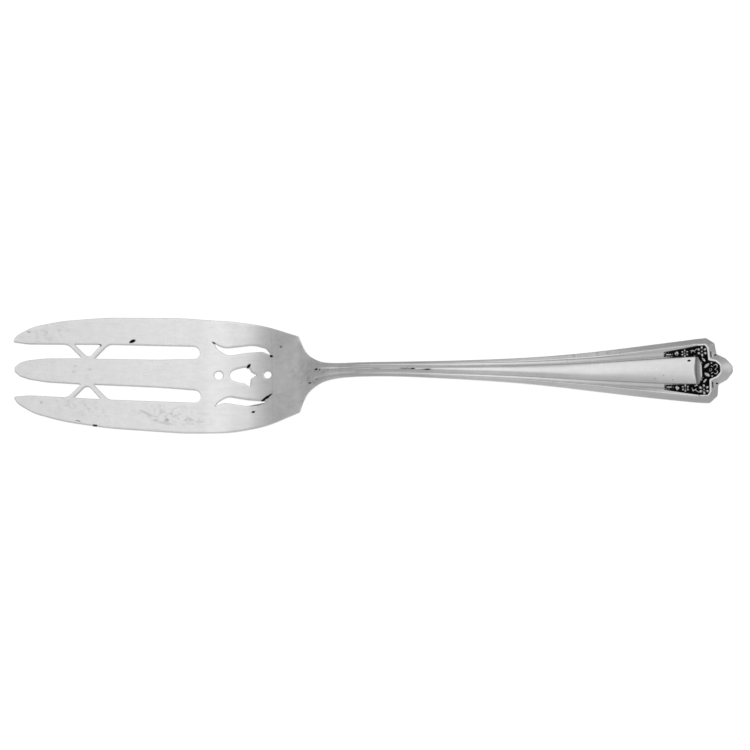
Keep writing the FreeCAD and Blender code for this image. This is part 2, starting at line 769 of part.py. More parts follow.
for make in (
    make_blade,
    trim_blade,
    pierce_gaps,
    pierce_middle,
    make_handle,
    make_end,
    sink_ground,
    step_panel,
    raise_ornament,
):
    make()
    doc.recompute()

faults = [item.Name for item in doc.Objects if {"Invalid", "Error"} & set(item.State)]
fork = body.Shape
if faults or fork.isNull() or not fork.isValid() or len(fork.Solids) != 1:
    raise SystemExit(f"the fork did not build: {faults}")
os.makedirs("parts", exist_ok=True)
fork.exportStep(os.path.join("parts", body.Label + ".step"))
print(f"{body.Label}: {fork.Volume / 1000:.2f} cm3, {len(fork.Faces)} faces")
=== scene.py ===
import math

import bmesh
import bpy
import numpy as np
from mathutils import Matrix, Vector
from mathutils.geometry import delaunay_2d_cdt


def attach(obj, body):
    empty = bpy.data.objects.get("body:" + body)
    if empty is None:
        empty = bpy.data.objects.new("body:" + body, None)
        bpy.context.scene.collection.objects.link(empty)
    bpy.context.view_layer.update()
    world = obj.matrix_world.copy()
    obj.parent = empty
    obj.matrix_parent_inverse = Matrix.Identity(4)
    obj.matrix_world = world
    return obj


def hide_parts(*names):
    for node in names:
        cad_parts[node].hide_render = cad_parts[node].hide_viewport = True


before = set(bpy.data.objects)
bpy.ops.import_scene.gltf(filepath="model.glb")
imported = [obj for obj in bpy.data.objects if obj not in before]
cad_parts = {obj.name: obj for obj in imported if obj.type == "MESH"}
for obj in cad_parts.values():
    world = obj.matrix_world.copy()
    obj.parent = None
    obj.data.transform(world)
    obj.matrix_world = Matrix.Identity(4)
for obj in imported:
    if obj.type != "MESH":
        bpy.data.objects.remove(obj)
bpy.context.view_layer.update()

# A one-piece cake serving fork in polished silver-coloured metal.
# Sizes here are in millimetres and become metres when the mesh is made. "Reach" is X measured from the
# tine tips, "out" is the distance from the centre line, and the fork's middle is at reach LENGTH / 2.
MM = 0.001
LENGTH = 228.6

# The blade seen from the side: tines sloping down to a flat middle, then a rising heel
TINE_SLOPE = 0.2793
TINE_BEND, TINE_RADIUS = 65.1, 36
HEEL_SLOPE = 0.22
HEEL_BEND, HEEL_RADIUS = 77.9, 45
BLADE_THICKNESS = 1.5

# Corners of the outline as (reach, out, radius of the rounding)
MIDDLE_TINE = [(0.65, 0.65, 0.8), (2.3, 2.15, 2.5), (5.2, 3.05, 8), (11, 3.82, 20)]
OUTER_TINE_EDGE = (5, 8.27, 20)
BLADE_SIDE = [
    (0.2, 8.85, 0.4), (1.35, 10.95, 4.5), (6.6, 13.95, 16), (16, 16.2, 60), (30, 17.8, 90),
    (54, 18.6, 110), (70, 17.9, 60), (80.2, 16.2, 42), (90.9, 12.2, 0.9),
]
HALF_WIDTHS = [
    (91.9, 9.4), (92.9, 7.4), (94.9, 5.15), (96.8, 3.93), (98.7, 3.17), (101, 2.72), (104.4, 2.42),
    (109, 2.33), (117, 2.33), (135.5, 2.82), (153, 3.6), (170, 4.85), (186.1, 6.6), (202.1, 8.55),
    (217.6, 10.35),
]
HANDLE_END = [
    (220.7, 10.55, 1.2), (223.3, 8.5, 0.9), (223.75, 4.95, 1), (226.6, 3.45, 2.2), (228.6, 1, 1.4),
]
# The die was struck a little askew at the handle end
END_SKEW, SKEW_START, SKEW_RUN = 0.045, 213, 8
LOBE_LEAN, LEAN_START, LEAN_RUN = 0.42, 219, 6
# The gaps and the middle tine are a little askew to the fork
GAP_SKEW = math.radians(0.5)
# A tie's front edge, the eye in it and its back edge. The tie on the other side lies nearer the tips
TIE_FRONT = [(22.1, 4.15, 0.25), (17.7, 8.56, 3)]
TIE_EYE = [(19.75, 8.63, 0.2), (28.2, 8.83, 0.2), (24.15, 4.15, 1.6)]
TIE_BACK = [(26.05, 4.15, 0.2), (30.6, 8.9, 3)]
OTHER_TIE = -0.5
SLOT_END = [(59.4, 9.1, 1.9), (59.4, 5.1, 1.9), (46, 4.45, 60)]
# Piercings in the middle of the blade, a little off its centre line
PIERCING_SHIFT = 0.4
ROUND_HOLES = [(65.2, 1.38), (80.8, 1.2)]
BELL = [
    (68.75, 1.3, 1.85), (70.8, 2.05, 2.5), (73.6, 2.7, 1.5), (75.1, 3.75, 0.15), (75.35, 1.15, 1),
    (77.4, 0, 0.3),
]
# One point of the bell is filled with dirt, and so is the tail of one scroll
FILLED_LIP = [(74.3, 2.35, 0.3), (75.15, 2, 0.2)]
SCROLL = [
    (63.85, 10.6, 0.15), (66.6, 8.75, 6), (76.4, 9.72, 9), (80.4, 8.5, 1.8), (82, 6.2, 0.15),
    (79.3, 7.45, 2.5), (74.55, 7.3, 8), (68.1, 6.35, 4), (64.9, 8.45, 2),
]
OTHER_SCROLL = [
    (63.6, 10.5, 0.15), (66.2, 8.65, 5), (74.3, 9.95, 6), (79.7, 8.9, 0.8), (80.7, 8.6, 0.1),
    (79.2, 8.45, 0.8), (74.55, 7.95, 8), (67.9, 6.75, 4), (64.9, 8.6, 2),
]

# Stations of the stem and handle: reach, height of the underside, thickness, bow of the underside,
# height of the sides, drop from crown to ridge, and how much of the mouldings shows
STATIONS = [
    (90, HEEL_SLOPE * (90 - HEEL_BEND), 1.56, 0, 1.56, 0, 0),
    (92.3, 3.1, 1.7, 0.1, 1.6, 0.05, 0),
    (95.2, 4.25, 2.2, 0.5, 1.6, 0.3, 0.05),
    (98.6, 5.95, 2.9, 0.85, 1.9, 0.58, 0.1),
    (103.2, 7.95, 3.19, 1.1, 2, 0.75, 0.22),
    (109, 9.4, 3.2, 1.1, 2, 0.75, 0.23),
    (117, 9.7, 3.2, 1.1, 2, 0.75, 0.23),
    (135.5, 7.5, 3.16, 1.05, 2, 0.7, 0.35),
    (153, 4.85, 3.08, 0.96, 2.12, 0.58, 0.46),
    (170, 2.3, 2.97, 0.84, 1.95, 0.56, 0.58),
    (186.1, 0.45, 2.83, 0.67, 1.6, 0.55, 0.7),
    (202.1, 0, 2.66, 0.48, 1.26, 0.52, 0.83),
    (217.6, 0.25, 2.5, 0.3, 1.05, 0.45, 1),
]
# The mouldings' places as shares of the half width: the border ends at the ridge, then come the
# slope into the groove, the bowed band, a wall and the crowned panel
BORDER_WIDTH, BORDER_SHARE = 1.95, 0.3
GROOVE_SHARE, GROOVE_DEPTH = 0.66, 0.45
BAND_SHARE, BAND_BOW = 0.46, 0.2
PANEL_SHARE = 0.42
PANEL_FLATNESS = 0.35
CREASE_SOFTNESS = 0.08
# How dull polishing leaves each of them: amount, reach where it starts, run over which it grows
BAND_PATINA = (0.3, 150, 45)
BORDER_PATINA = (0.14, 185, 30)
GROOVE_DIRT = (0.28, 104, 14)
PANEL_PATINA = (0.05, 150, 20)
STEM_PATINA = (0.2, 100, 10)
STEM_PATINA_END, STEM_PATINA_FADE = 145, 20

# The pointed end: its ridge, the sunk ground inside it, and the hollow end of the panel
PANEL_REACH = 217.6
END_TILT = math.radians(1)
END_SIDE, END_RIDGE = 1.05, 2.05
RIDGE_LINE = [
    (220.5, 8.4, 0.8), (221.2, 7.2, 0.5), (221.4, 3.5, 0.6), (223.7, 2.8, 0.8), (225, 1.35, 0.8),
]
SUNK_GROUND = [
    (218.7, 2, 3), (217.6, 4.35, 0.5), (206.7, 4.35, 0.3), (206.7, 6.15, 0.3), (217.6, 8, 1.95),
    (220.2, 8.05, 0.6), (220.85, 6.9, 0.4), (221, 3.1, 0.5), (223.3, 2.4, 0.6), (224.6, 1.1, 0.5),
]
SUNK_DEPTH, WALL_WIDTH = 0.55, 0.16
PANEL_END, PANEL_END_BOW, PANEL_STEP, STEP_WIDTH = 216.8, 0.4, 0.55, 0.6
SHELL_RUN, SHELL_HALF = 2.1, 4.6
RELIEF_HEIGHT = 0.45
PETALS = 6
# How dark the pointed end, the pierced edges and the underside are, where 1 is black. The darkness on the
# blade's edges, on the underside and on the shell at the panel's hollow end is painted shade
CREASE_DIRT, SHELL_PAINTED_SHADE = 0.7, 0.6
GRIME, LOBE_PATINA, EDGE_PAINTED_SHADE, UNDERSIDE_PAINTED_SHADE = 0.3, 0.16, 0.35, 0.22
# Short lines cut in the border beside the corners of the ridge: reach, out, length, width, degrees
CUTS = [(221.95, 4.95, 2, 0.42, 90), (223.3, 4.6, 0.8, 0.55, 20)]
CUT_DEPTH = 0.12

# Rounding of the edges on both sides of the metal
EDGE_RADIUS = 0.18

# The mesh: rings of points inside the outline as shares of EDGE_RADIUS, rows of points in each zone
# of the mouldings from the outline to the centre line, and the distances between points
TOP_RINGS = (0.12, 0.3, 0.6, 1, 4)
UNDER_RINGS = (0.08, 0.4, 1, 2.4)
TOP_ROWS = [
    (0.02, 0.08, 0.2, 0.4, 0.6, 0.8, 0.93), (0, 0.08, 0.3, 0.7, 0.92), (0, 0.1, 0.3, 0.5, 0.7, 0.9),
    (0, 0.5), (0, 0.04, 0.2, 0.4, 0.6, 0.8, 1),
]
UNDER_ROWS = [(0.03, 0.15, 0.4, 0.7), (0, 0.5), (0, 0.5), (0,), (0, 0.35, 0.7, 1)]
ROWS_FROM, UNDER_ROWS_FROM = 93, 94
TOP_ROW_STEP, UNDER_ROW_STEP = 0.8, 1.4
THROAT_RUN, THROAT_STEP = 7, 0.2
BLADE_STEP, UNDER_BLADE_STEP = 1.5, 1.8
END_STEP, UNDER_END_STEP, RELIEF_STEP = 0.4, 1, 0.12
SMALLEST_STEP = 0.02
# Half widths of the stretches that the lattices of points cover, and how far they stay off the outline
BLADE_HALF, END_HALF, RELIEF_HALF = 18.5, 10.8, 8.4
BLADE_MARGIN, END_MARGIN = 1.1, 0.5
# The stretch with the ornament, and where the mesh takes its heights from end_height
RELIEF_FROM, RELIEF_TO = 206, 225.2
END_HEIGHT_FROM = 205.7

# Tarnish and dirt on the metal, and one painted shade line across the heel's bend, as (reach, out, length,
# width, degrees, strength)
SPOTS = [
    (38, 10.45, 1.9, 0.85, 25, 1),
    (27.7, 8.75, 0.91, 0.65, 0, 1),
    (25.9, -17.15, 1.3, 0.6, -8, 0.92),
    (20.5, -15.9, 1.5, 0.3, -12, 0.5),
    (76.1, -11.5, 1.04, 0.65, 10, 1),
    (74.8, 3.4, 1.5, 0.8, 50, 1),
    # Painted shade: a faint dark line straight across the blade where it bends up into the heel
    (82.2, -1, 0.5, 30, 0, 0.07),
    (63.8, 10.9, 1.17, 0.52, -30, 0.8),
    (82, 6.3, 0.91, 0.65, 0, 1),
    (80.3, -7.05, 3.8, 0.7, 33, 1),
    (77.2, -9.3, 4.6, 0.3, 8, 0.6),
    (94.2, -3.1, 0.78, 0.52, 0, 0.92),
    (96.2, 1, 0.91, 0.52, 0, 1),
    (97.3, 0.7, 0.45, 0.39, 0, 0.8),
    (96.3, -2.2, 0.78, 0.39, 0, 0.57),
    (85.1, 9.2, 0.78, 0.65, 0, 0.57),
    (115.2, 0, 2.6, 0.3, 0, 0.45),
    (125, -0.05, 4.8, 0.4, 0, 0.6),
    (126.9, -0.05, 1.4, 0.4, 0, 0.95),
    (131.2, -0.15, 3.4, 0.35, 0, 0.6),
    (131.6, -0.15, 1.8, 0.4, 0, 0.95),
    (214.7, 3.1, 1.04, 0.59, 15, 0.98),
    (209.5, -3, 0.6, 0.4, 0, 0.35),
    (206.5, -1.6, 0.5, 0.4, 0, 0.3),
    (203.8, -2.5, 0.5, 0.4, 0, 0.3),
    (176.1, 3.2, 0.5, 0.3, 0, 0.4),
    (189.3, 2.9, 0.5, 0.3, 0, 0.3),
    (199.9, 4.5, 0.5, 0.3, 0, 0.35),
    (193.6, -3.6, 0.5, 0.3, 0, 0.3),
    (5.3, 12.2, 1, 0.5, -20, 0.25),
    (9, -10.4, 0.8, 0.7, 0, 0.2),
    (19.7, 1.7, 0.9, 0.7, 0, 0.1),
    (19.3, -0.1, 0.9, 0.7, 0, 0.1),
    (24.5, 0.9, 0.9, 0.7, 0, 0.1),
    (41.6, -12.4, 3, 0.6, -28, 0.16),
    (45.1, -14.7, 1.6, 0.7, 0, 0.16),
    (48.6, -14.6, 1.2, 1, 0, 0.3),
    (48.3, -15.6, 4, 0.7, -8, 0.14),
    (54.6, -14.3, 1, 0.6, 0, 0.2),
    (59.1, -14.8, 2.6, 0.4, 5, 0.14),
]

# Places with faint smudges, given the same way
SMUDGED = [
    (50, -13, 30, 8.5, -3, 0.3), (22, -11.5, 24, 8, -12, 0.2), (12, 12, 20, 7, 15, 0.2),
    (94, 0, 14, 12, 0, 0.3), (186, 6, 60, 3.4, 6, 0.35), (219, -8, 8, 4, 0, 0.5),
]

# The metal: its tone, a stretch darker towards the tine tips and a dull stretch at the handle end, each
# from one reach to another, and its roughness
TONE_RANGE = (0.8, 0.86)
TIPS_DARKER_TO, TIPS_TONE = 55, 0.87
END_DULL, END_TONE = (185, 215), 0.92
HEEL_TARNISH_START, HEEL_TARNISH_END, HEEL_TARNISH = (76, 84), (100, 125), 0.16
ROUGHNESS_RANGE = (0.25, 0.32)
SCRATCH_DARKNESS = 0.07
RAGGEDNESS = 0.5
BLACK_GROUND = (0.006, 0.006, 0.006, 1)

# The stage, with its places in metres and the floor's gap in millimetres
FLOOR_REACH, FLOOR_GAP = 3, 0.2
FLOOR_GREY = (0.3, 0.3, 0.3, 1)
FLOOR_GLOW, FLOOR_GLOW_SEEN = 0.4, 0.88
ROOM_LOW, ROOM_HIGH, ROOM_FRONT = 0.34, 0.48, 0.1
LAMP_SIZE, LAMP_POWER, LAMP_PLACE = (1.15, 0.95), 1.95, (0.28, 0.43, 1.15)
CAMERA_TILT, CAMERA_TURN = math.radians(10.5), math.radians(-0.75)
CAMERA_AWAY = 8
# What the camera sees in millimetres: the width of its view and the place in its middle
SEEN_WIDTH = 238.35
CAMERA_TARGET = (0.57, 0.1, 0.75)


def smooth_curve(points):
    """A curve through (x, y) points with no kinks, as a function of an array of x."""
    xs, ys = np.array(points, float).T
    count = len(xs)
    gaps = np.diff(xs)
    slopes = np.diff(ys) / gaps
    matrix = np.eye(count)
    turns = np.zeros(count)
    for i in range(1, count - 1):
        matrix[i, i - 1:i + 2] = gaps[i - 1], 2 * (gaps[i - 1] + gaps[i]), gaps[i]
        turns[i] = 6 * (slopes[i] - slopes[i - 1])
    bends = np.linalg.solve(matrix, turns)
    starts = slopes - gaps * (2 * bends[:-1] + bends[1:]) / 6

    def at(x):
        x = np.clip(x, xs[0], xs[-1])
        i = np.clip(np.searchsorted(xs, x) - 1, 0, count - 2)
        t = x - xs[i]
        return ys[i] + t * (starts[i] + t * (bends[i] / 2 + t * (bends[i + 1] - bends[i]) / (6 * gaps[i])))

    return at


half_width = smooth_curve(HALF_WIDTHS)
lift_curve, thickness_curve, bow_curve, side_curve, drop_curve, fade_curve = (
    smooth_curve([(row[0], row[i]) for row in STATIONS]) for i in range(1, 7)
)


def blade_lift(x):
    """Height of the blade's underside: straight runs joined by round bends."""
    tine_angle, heel_angle = math.atan(TINE_SLOPE), math.atan(HEEL_SLOPE)
    tine_end = TINE_BEND + TINE_RADIUS * math.tan(tine_angle / 2)
    heel_start = HEEL_BEND - HEEL_RADIUS * math.tan(heel_angle / 2)
    into_tine = np.clip(tine_end - x, 0, TINE_RADIUS * math.sin(tine_angle))
    into_heel = np.clip(x - heel_start, 0, HEEL_RADIUS * math.sin(heel_angle))
    tine = TINE_RADIUS - np.sqrt(TINE_RADIUS**2 - into_tine**2)
    heel = HEEL_RADIUS - np.sqrt(HEEL_RADIUS**2 - into_heel**2)
    tine += np.clip(tine_end - x - TINE_RADIUS * math.sin(tine_angle), 0, None) * TINE_SLOPE
    heel += np.clip(x - heel_start - HEEL_RADIUS * math.sin(heel_angle), 0, None) * HEEL_SLOPE
    return tine + heel


def base_lift(x):
    """Height of the underside on the centre line, along the whole fork."""
    joint = STATIONS[0][0]
    beyond = np.clip(x - PANEL_REACH, 0, None) * math.tan(END_TILT)
    return np.where(x < joint, blade_lift(x), lift_curve(x) + beyond)


def plate_or(curve, plate, x):
    return np.where(x < STATIONS[0][0], plate, curve(x))


def moulded_height(x, y):
    """Height of the top above base_lift where the section's mouldings run along the stem and handle."""
    half = half_width(x)
    share = np.clip(np.abs(y) / half, 0, 1)
    thickness = plate_or(thickness_curve, BLADE_THICKNESS, x)
    side = plate_or(side_curve, BLADE_THICKNESS, x)
    drop = plate_or(drop_curve, 0, x)
    fade = plate_or(fade_curve, 0, x)
    ridge = thickness - drop
    sunk = ridge - GROOVE_DEPTH * fade
    ridge_share = 1 - np.minimum(BORDER_WIDTH / half, BORDER_SHARE)
    border = side + (ridge - side) * (1 - share) / (1 - ridge_share)
    inner_slope = ridge + (sunk - ridge) * (ridge_share - share) / (ridge_share - GROOVE_SHARE)
    middle = (share - BAND_SHARE) / (GROOVE_SHARE - BAND_SHARE)
    band = sunk + BAND_BOW * fade * 4 * middle * (1 - middle)
    flat = PANEL_FLATNESS * fade
    panel_edge = ridge + drop * flat
    wall = sunk + (panel_edge - sunk) * (BAND_SHARE - share) / (BAND_SHARE - PANEL_SHARE)
    panel = panel_edge + drop * (1 - flat) * (1 - (share / PANEL_SHARE) ** 2)
    zones = [share >= ridge_share, share >= GROOVE_SHARE, share >= BAND_SHARE, share >= PANEL_SHARE]
    return np.select(zones, [border, inner_slope, band, wall], panel)


def growing(x, patina):
    """A patina's amount along the fork, from none at its start to all of it."""
    amount, start, run = patina
    return amount * ease((x - start) / run)


def handle_patina(x, y):
    """How dull the mouldings are, because polishing reaches them less, and how dirty their grooves are."""
    half = half_width(x)
    share = np.abs(y) / half
    border = ease((share - 1 + np.minimum(BORDER_WIDTH / half, BORDER_SHARE) - 0.02) / 0.05)
    band = ease((share - PANEL_SHARE) / 0.05) * ease((GROOVE_SHARE + 0.05 - share) / 0.07)
    grooves = np.exp(-((share - GROOVE_SHARE) / 0.025) ** 2) + np.exp(-((share - BAND_SHARE) / 0.025) ** 2)
    return np.maximum.reduce([
        band * growing(x, BAND_PATINA),
        border * growing(x, BORDER_PATINA),
        grooves * growing(x, GROOVE_DIRT),
        (share < PANEL_SHARE) * growing(x, PANEL_PATINA),
        growing(x, STEM_PATINA) * ease((STEM_PATINA_END - x) / STEM_PATINA_FADE),
    ])


def soft_moulded_height(x, y):
    """The moulded height with its creases a little rounded."""
    soft = CREASE_SOFTNESS
    sides = moulded_height(x, y - soft) + moulded_height(x, y + soft)
    return (sides + 2 * moulded_height(x, y)) / 4


def arc_points(corner, before, after, radius, step):
    """The rounding of one corner as points, its ends included."""
    back, ahead = before - corner, after - corner
    back, ahead = back / np.linalg.norm(back), ahead / np.linalg.norm(ahead)
    half_angle = math.acos(np.clip(back @ ahead, -1, 1)) / 2
    run = radius / math.tan(half_angle)
    centre = corner + (back + ahead) / np.linalg.norm(back + ahead) * (radius / math.sin(half_angle))
    first, last = corner + back * run - centre, corner + ahead * run - centre
    swing = math.pi - 2 * half_angle
    if first[0] * last[1] - first[1] * last[0] < 0:
        swing = -swing
    count = max(3, math.ceil(abs(swing) * radius / step), math.ceil(abs(swing) / 0.3))
    start = math.atan2(first[1], first[0])
    angles = start + swing * np.linspace(0, 1, count + 1)
    return [centre + radius * np.array([math.cos(a), math.sin(a)]) for a in angles]


def rounded(corners, step=0.6):
    """A closed polyline through corners of (x, y, radius), its straight runs divided into steps."""
    spots = [np.array(c[:2], float) for c in corners]
    count = len(corners)
    stretches = []
    for i, corner in enumerate(corners):
        if corner[2]:
            stretches.append(arc_points(spots[i], spots[i - 1], spots[(i + 1) % count], corner[2], step))
        else:
            stretches.append([spots[i]])
    points = []
    for i, stretch in enumerate(stretches):
        points += stretch
        start, end = stretch[-1], stretches[(i + 1) % count][0]
        pieces = max(1, math.ceil(np.linalg.norm(end - start) / step))
        points += [start + (end - start) * k / pieces for k in range(1, pieces)]
    points = np.array(points)
    steps = np.linalg.norm(points - np.roll(points, 1, axis=0), axis=1)
    return points[steps > SMALLEST_STEP]


def flipped(corners):
    """The same corners on the other side of the centre line, in reverse order."""
    return [(x, -y, radius) for x, y, radius in reversed(corners)]


def moved(corners, reach):
    """Corners moved along the fork."""
    return [(x + reach, y, radius) for x, y, radius in corners]


def skewed(corners):
    """Corners turned with the gaps, which are askew to the fork."""
    c, s = math.cos(GAP_SKEW), math.sin(GAP_SKEW)
    return [(x * c - y * s, x * s + y * c, radius) for x, y, radius in corners]


def shifted(corners):
    """Corners moved across the fork with the piercings."""
    return [(x, y + PIERCING_SHIFT, radius) for x, y, radius in corners]


def circle(reach, out, radius, count=40):
    angles = np.linspace(0, 2 * math.pi, count, endpoint=False)
    return np.stack([reach + radius * np.cos(angles), out + radius * np.sin(angles)], 1)


def outlines():
    """The fork's outer outline, then the edges of all its holes, seen from above."""
    xs = np.concatenate([np.arange(HALF_WIDTHS[0][0], 98, 0.2), np.arange(98, PANEL_REACH, 0.8)])
    stem = [(x, float(half_width(x)), 0) for x in xs]
    side = BLADE_SIDE + stem + HANDLE_END
    gaps = []
    for shift in (0, OTHER_TIE):
        front = MIDDLE_TINE + moved(TIE_FRONT, shift) + [OUTER_TINE_EDGE]
        gaps.append((front, moved(TIE_EYE, shift), moved(TIE_BACK, shift) + SLOT_END))
    (front, eye, slot), (other_front, other_eye, other_slot) = gaps
    outer = rounded(skewed(front) + side + flipped(side) + skewed(flipped(other_front)))
    holes = [
        rounded(skewed(eye)), rounded(skewed(flipped(other_eye))),
        rounded(skewed(slot)), rounded(skewed(flipped(other_slot))),
        rounded(shifted(BELL[:3] + FILLED_LIP + BELL[4:] + flipped(BELL[:-1])), 0.3),
        rounded(shifted(SCROLL), 0.4), rounded(shifted(flipped(OTHER_SCROLL)), 0.4),
    ]
    holes += [circle(reach, PIERCING_SHIFT, radius) for reach, radius in ROUND_HOLES]
    return [outer] + holes


def segments(loop):
    """Start points and end points of a closed polyline's runs."""
    return loop, np.roll(loop, -1, axis=0)


def distance(points, starts, ends, chunk=4000):
    """How far each point is from the nearest of the runs."""
    run = ends - starts
    length = np.maximum((run**2).sum(1), 1e-12)
    found = np.empty(len(points))
    for i in range(0, len(points), chunk):
        away = points[i:i + chunk, None] - starts[None]
        t = np.clip((away * run).sum(2) / length, 0, 1)
        found[i:i + chunk] = np.sqrt(((away - t[..., None] * run) ** 2).sum(2).min(1))
    return found


def inside(points, starts, ends, chunk=8000):
    """Whether each point is inside the loops, counting a hole as outside."""
    found = np.empty(len(points), bool)
    rise = ends[:, 1] - starts[:, 1]
    rise = np.where(rise == 0, 1e-12, rise)
    for i in range(0, len(points), chunk):
        x, y = points[i:i + chunk, 0, None], points[i:i + chunk, 1, None]
        crosses = (starts[:, 1] > y) != (ends[:, 1] > y)
        at = starts[:, 0] + (y - starts[:, 1]) * (ends[:, 0] - starts[:, 0]) / rise
        found[i:i + chunk] = (crosses & (x < at)).sum(1) % 2 == 1
    return found


def signed_distance(points, loop):
    """Distance to a closed loop, positive inside it."""
    starts, ends = segments(loop)
    away = distance(points, starts, ends)
    return np.where(inside(points, starts, ends), away, -away)


def ease(t):
    """A step from 0 to 1 with soft ends."""
    t = np.clip(t, 0, 1)
    return t * t * (3 - 2 * t)


def dome(t):
    """Height of a half round over its middle, for t from 0 there to 1 at its edge."""
    return np.sqrt(np.clip(1 - t**2, 0, 1))


def turned(x, y, reach, out, degrees):
    """Places measured along and across something at (reach, out) that is turned."""
    c, s = math.cos(math.radians(degrees)), math.sin(math.radians(degrees))
    return (x - reach) * c + (y - out) * s, (y - out) * c - (x - reach) * s


def pearl(x, y, reach, out, radius):
    return dome(np.hypot(x - reach, y - out) / radius)


def bar(x, y, reach, out, length, width, degrees=0):
    along, across = turned(x, y, reach, out, degrees)
    beyond = np.clip(np.abs(along) - (length - width) / 2, 0, None)
    return dome(np.hypot(beyond, across) / (width / 2))


def ring(x, y, reach, out, radius, width):
    return dome((np.hypot(x - reach, y - out) - radius) / (width / 2))


def curl(x, y, reach, out, radius, width, degrees):
    """Most of a half circle, tapering towards its ends, turned from the fork's length."""
    along, across = turned(x, y, reach, out, degrees)
    taper = np.clip(np.cos(np.arctan2(across, along) * 0.75), 0.05, 1)
    return dome((np.hypot(along, across) - radius) / (width / 2 * taper)) * (taper > 0.05)


def rosette(x, y, reach, out, diameter):
    """Petals round a pearl, inside a thin ring."""
    height = pearl(x, y, reach, out, diameter * 0.1) * 0.7
    height = np.maximum(height, 0.5 * ring(x, y, reach, out, diameter * 0.2, 0.1))
    for i in range(PETALS):
        turn = math.tau * (i + 0.5) / PETALS
        spot = reach + 0.36 * diameter * math.cos(turn), out + 0.36 * diameter * math.sin(turn)
        along, across = turned(x, y, *spot, math.degrees(turn))
        height = np.maximum(height, dome(np.hypot(along / (0.16 * diameter), across / (0.14 * diameter))))
    return height


def leaf(x, y, reach, out, length, width, degrees):
    """A pointed leaf with a groove along its middle."""
    along, across = turned(x, y, reach, out, degrees)
    t = np.clip(along / (length / 2), -1, 1)
    half = np.maximum(width / 2 * (1 - t**2), 1e-6)
    body = dome(across / half) * dome(t) ** 0.5
    return np.where(np.abs(along) < length / 2, body, 0) * (1 - 0.45 * np.exp(-(across / 0.09) ** 2))


def relief(x, y):
    """Height of the ornament over the sunk ground, from 0 to 1, nearly the same on both sides."""
    side = np.abs(y)
    frame_line = dome((np.hypot(np.clip(np.abs(x - 208.2) - 0.75, 0, None), side - 5.25) - 0.62) / 0.1)
    shapes = [
        bar(x, side, 208.25, 5.25, 1.9, 0.52),
        0.42 * frame_line,
        0.7 * leaf(x, side, 210.8, 5.6, 1.7, 1.5, 80),
        rosette(x, side, 213.4, 5.65, 2.5),
        curl(x, side, 216.1, 5.75, 0.62, 0.42, 100),
        0.8 * bar(x, side, 216.9, 6.6, 1.6, 0.3, 35),
        0.6 * bar(x, side, 215.6, 6.5, 1, 0.24, 20),
        0.6 * leaf(x, side, 216.7, 4.85, 1.5, 0.6, -15),
        rosette(x, side, 219.1, 6.15, 3.4),
        leaf(x, side, 219.5, 3.45, 2.1, 0.75, -50),
        0.6 * bar(x, side, 218.7, 2.7, 1.3, 0.22, -60),
        leaf(x, side, 220.35, 1.45, 2.4, 1.15, 35),
        0.7 * pearl(x, side, 221.9, 2.1, 0.36),
        curl(x, side, 223.1, 0.9, 0.6, 0.5, 40),
        0.8 * bar(x, side, 222, 1.05, 0.9, 0.3, -25),
        0.8 * pearl(x, y, 223.1, 0, 0.3),
        0.6 * ring(x, y, 221.5, 0, 0.4, 0.2),
    ]
    return np.maximum.reduce(shapes)


def cuts(x, y):
    """Where the short lines beside the ridge's corners are cut, from 0 to 1."""
    return np.maximum.reduce([bar(x, np.abs(y), *line) for line in CUTS])


outline_loops = outlines()
all_starts = np.concatenate([segments(loop)[0] for loop in outline_loops])
all_ends = np.concatenate([segments(loop)[1] for loop in outline_loops])
sunk_loop = rounded(SUNK_GROUND + flipped(SUNK_GROUND), 0.3)
ridge_start = [(PANEL_REACH - 14, float(half_width(PANEL_REACH - 14)) - BORDER_WIDTH, 0),
               (PANEL_REACH, float(half_width(PANEL_REACH)) - BORDER_WIDTH, 0)]
ridge_loop = rounded(ridge_start + RIDGE_LINE + flipped(ridge_start + RIDGE_LINE), 0.3)


def panel_end(y):
    """Reach of the panel's hollow end at a distance from the centre line."""
    edge = PANEL_SHARE * HALF_WIDTHS[-1][1]
    return PANEL_END - PANEL_END_BOW * np.clip(1 - (y / edge) ** 2, 0, 1)


